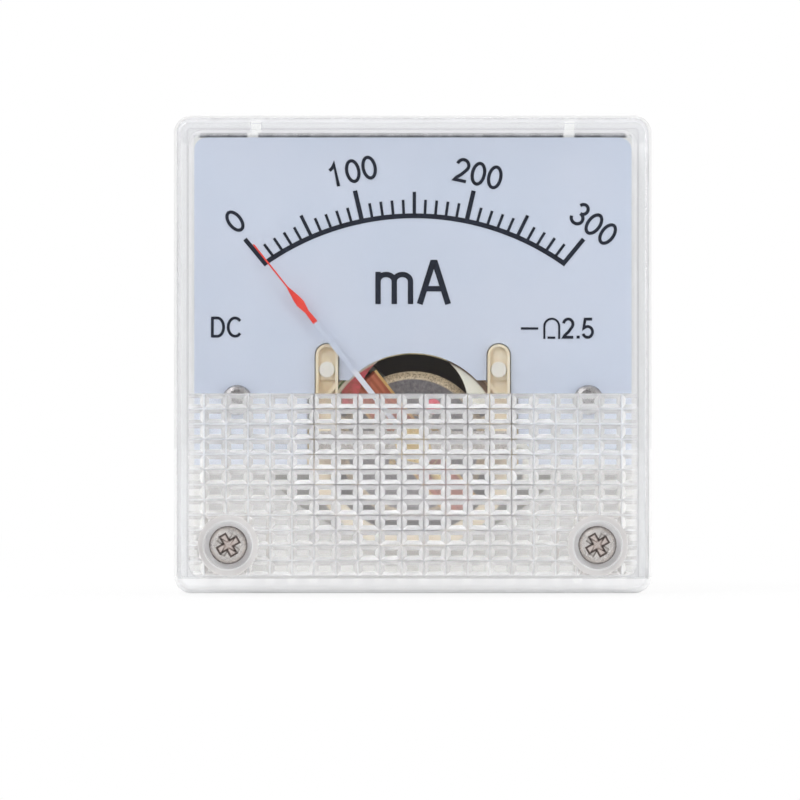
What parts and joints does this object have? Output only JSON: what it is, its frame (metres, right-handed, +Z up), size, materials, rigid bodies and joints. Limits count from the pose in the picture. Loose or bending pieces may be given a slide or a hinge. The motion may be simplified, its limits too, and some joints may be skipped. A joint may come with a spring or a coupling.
{
  "type": "analog panel meter",
  "caption": "Small square moving-coil panel meter: clear cover with a prism band, pale dial, swinging pointer, round body behind the flange with terminal studs.",
  "frame": {"origin": "centre of the flange's rear seating face, on the axis of the round body", "axes": "+Z up the dial, +X to the reader's right, the dial looks along -Y; the round body and the studs point along +Y"},
  "size_m": [0.045, 0.0375, 0.045],
  "materials": {
    "clear_styrene": "clear, polished",
    "white_plastic": "fine satin",
    "dial_enamel": "matt enamel",
    "cream_plastic": "satin",
    "nickel_plate": "nickel plated",
    "chromated_iron": "yellow chromate",
    "magnet_alloy": "sintered, ground face",
    "former_sheet": "plain",
    "copper_wire": "enamelled copper",
    "staff_steel": "polished",
    "pointer_sheet": "painted white, red end",
    "brass_parts": "turned or stamped",
    "spring_bronze": "bright",
    "red_lacquer": "gloss",
    "shunt_wire": "wound resistance wire",
    "wire_cover": "pale insulation"
  },
  "bodies": {
    "case": {"front_cover": "clear_styrene", "base_housing": "white_plastic", "dial_plate": "dial_enamel", "mounting_screws": "nickel_plate", "dial_screws": "nickel_plate", "core_magnet": "magnet_alloy", "yoke_ring": "chromated_iron", "movement_frame": "cream_plastic", "front_hairspring": "spring_bronze", "rear_hairspring": "spring_bronze", "front_bridge": "nickel_plate", "rear_bridge": "brass_parts", "front_jewel_screw": "brass_parts", "rear_jewel_screw": "brass_parts", "front_lock_nut": "brass_parts", "rear_lock_nut": "brass_parts", "zero_lever": "nickel_plate", "rear_spring_tab": "brass_parts", "lacquer_seal": "red_lacquer", "front_bridge_screws": "nickel_plate", "rear_bridge_screws": "nickel_plate", "movement_screws": "nickel_plate", "terminal_studs": "brass_parts", "terminal_washers": "nickel_plate", "terminal_nuts": "nickel_plate", "solder_tags": "nickel_plate", "shunt_resistor": "shunt_wire", "shunt_leads": "copper_wire", "lead_wires": "wire_cover"},
    "moving_coil": {"coil_former": "former_sheet", "coil_winding": "copper_wire", "front_staff": "staff_steel", "rear_staff": "staff_steel", "pointer": "pointer_sheet", "balance_cross": "brass_parts", "balance_weights": "brass_parts"}
  },
  "joints": [
    {"name": "pointer_swing", "type": "hinge", "parent": "case", "child": "moving_coil", "pos_m": [0, 0, -0.0085], "axis": [0, 1, 0], "range_deg": [-2.8, 79.8], "stiffness_Nm_per_rad": 0.000002, "deforming": ["front_hairspring", "rear_hairspring"]}
  ]
}
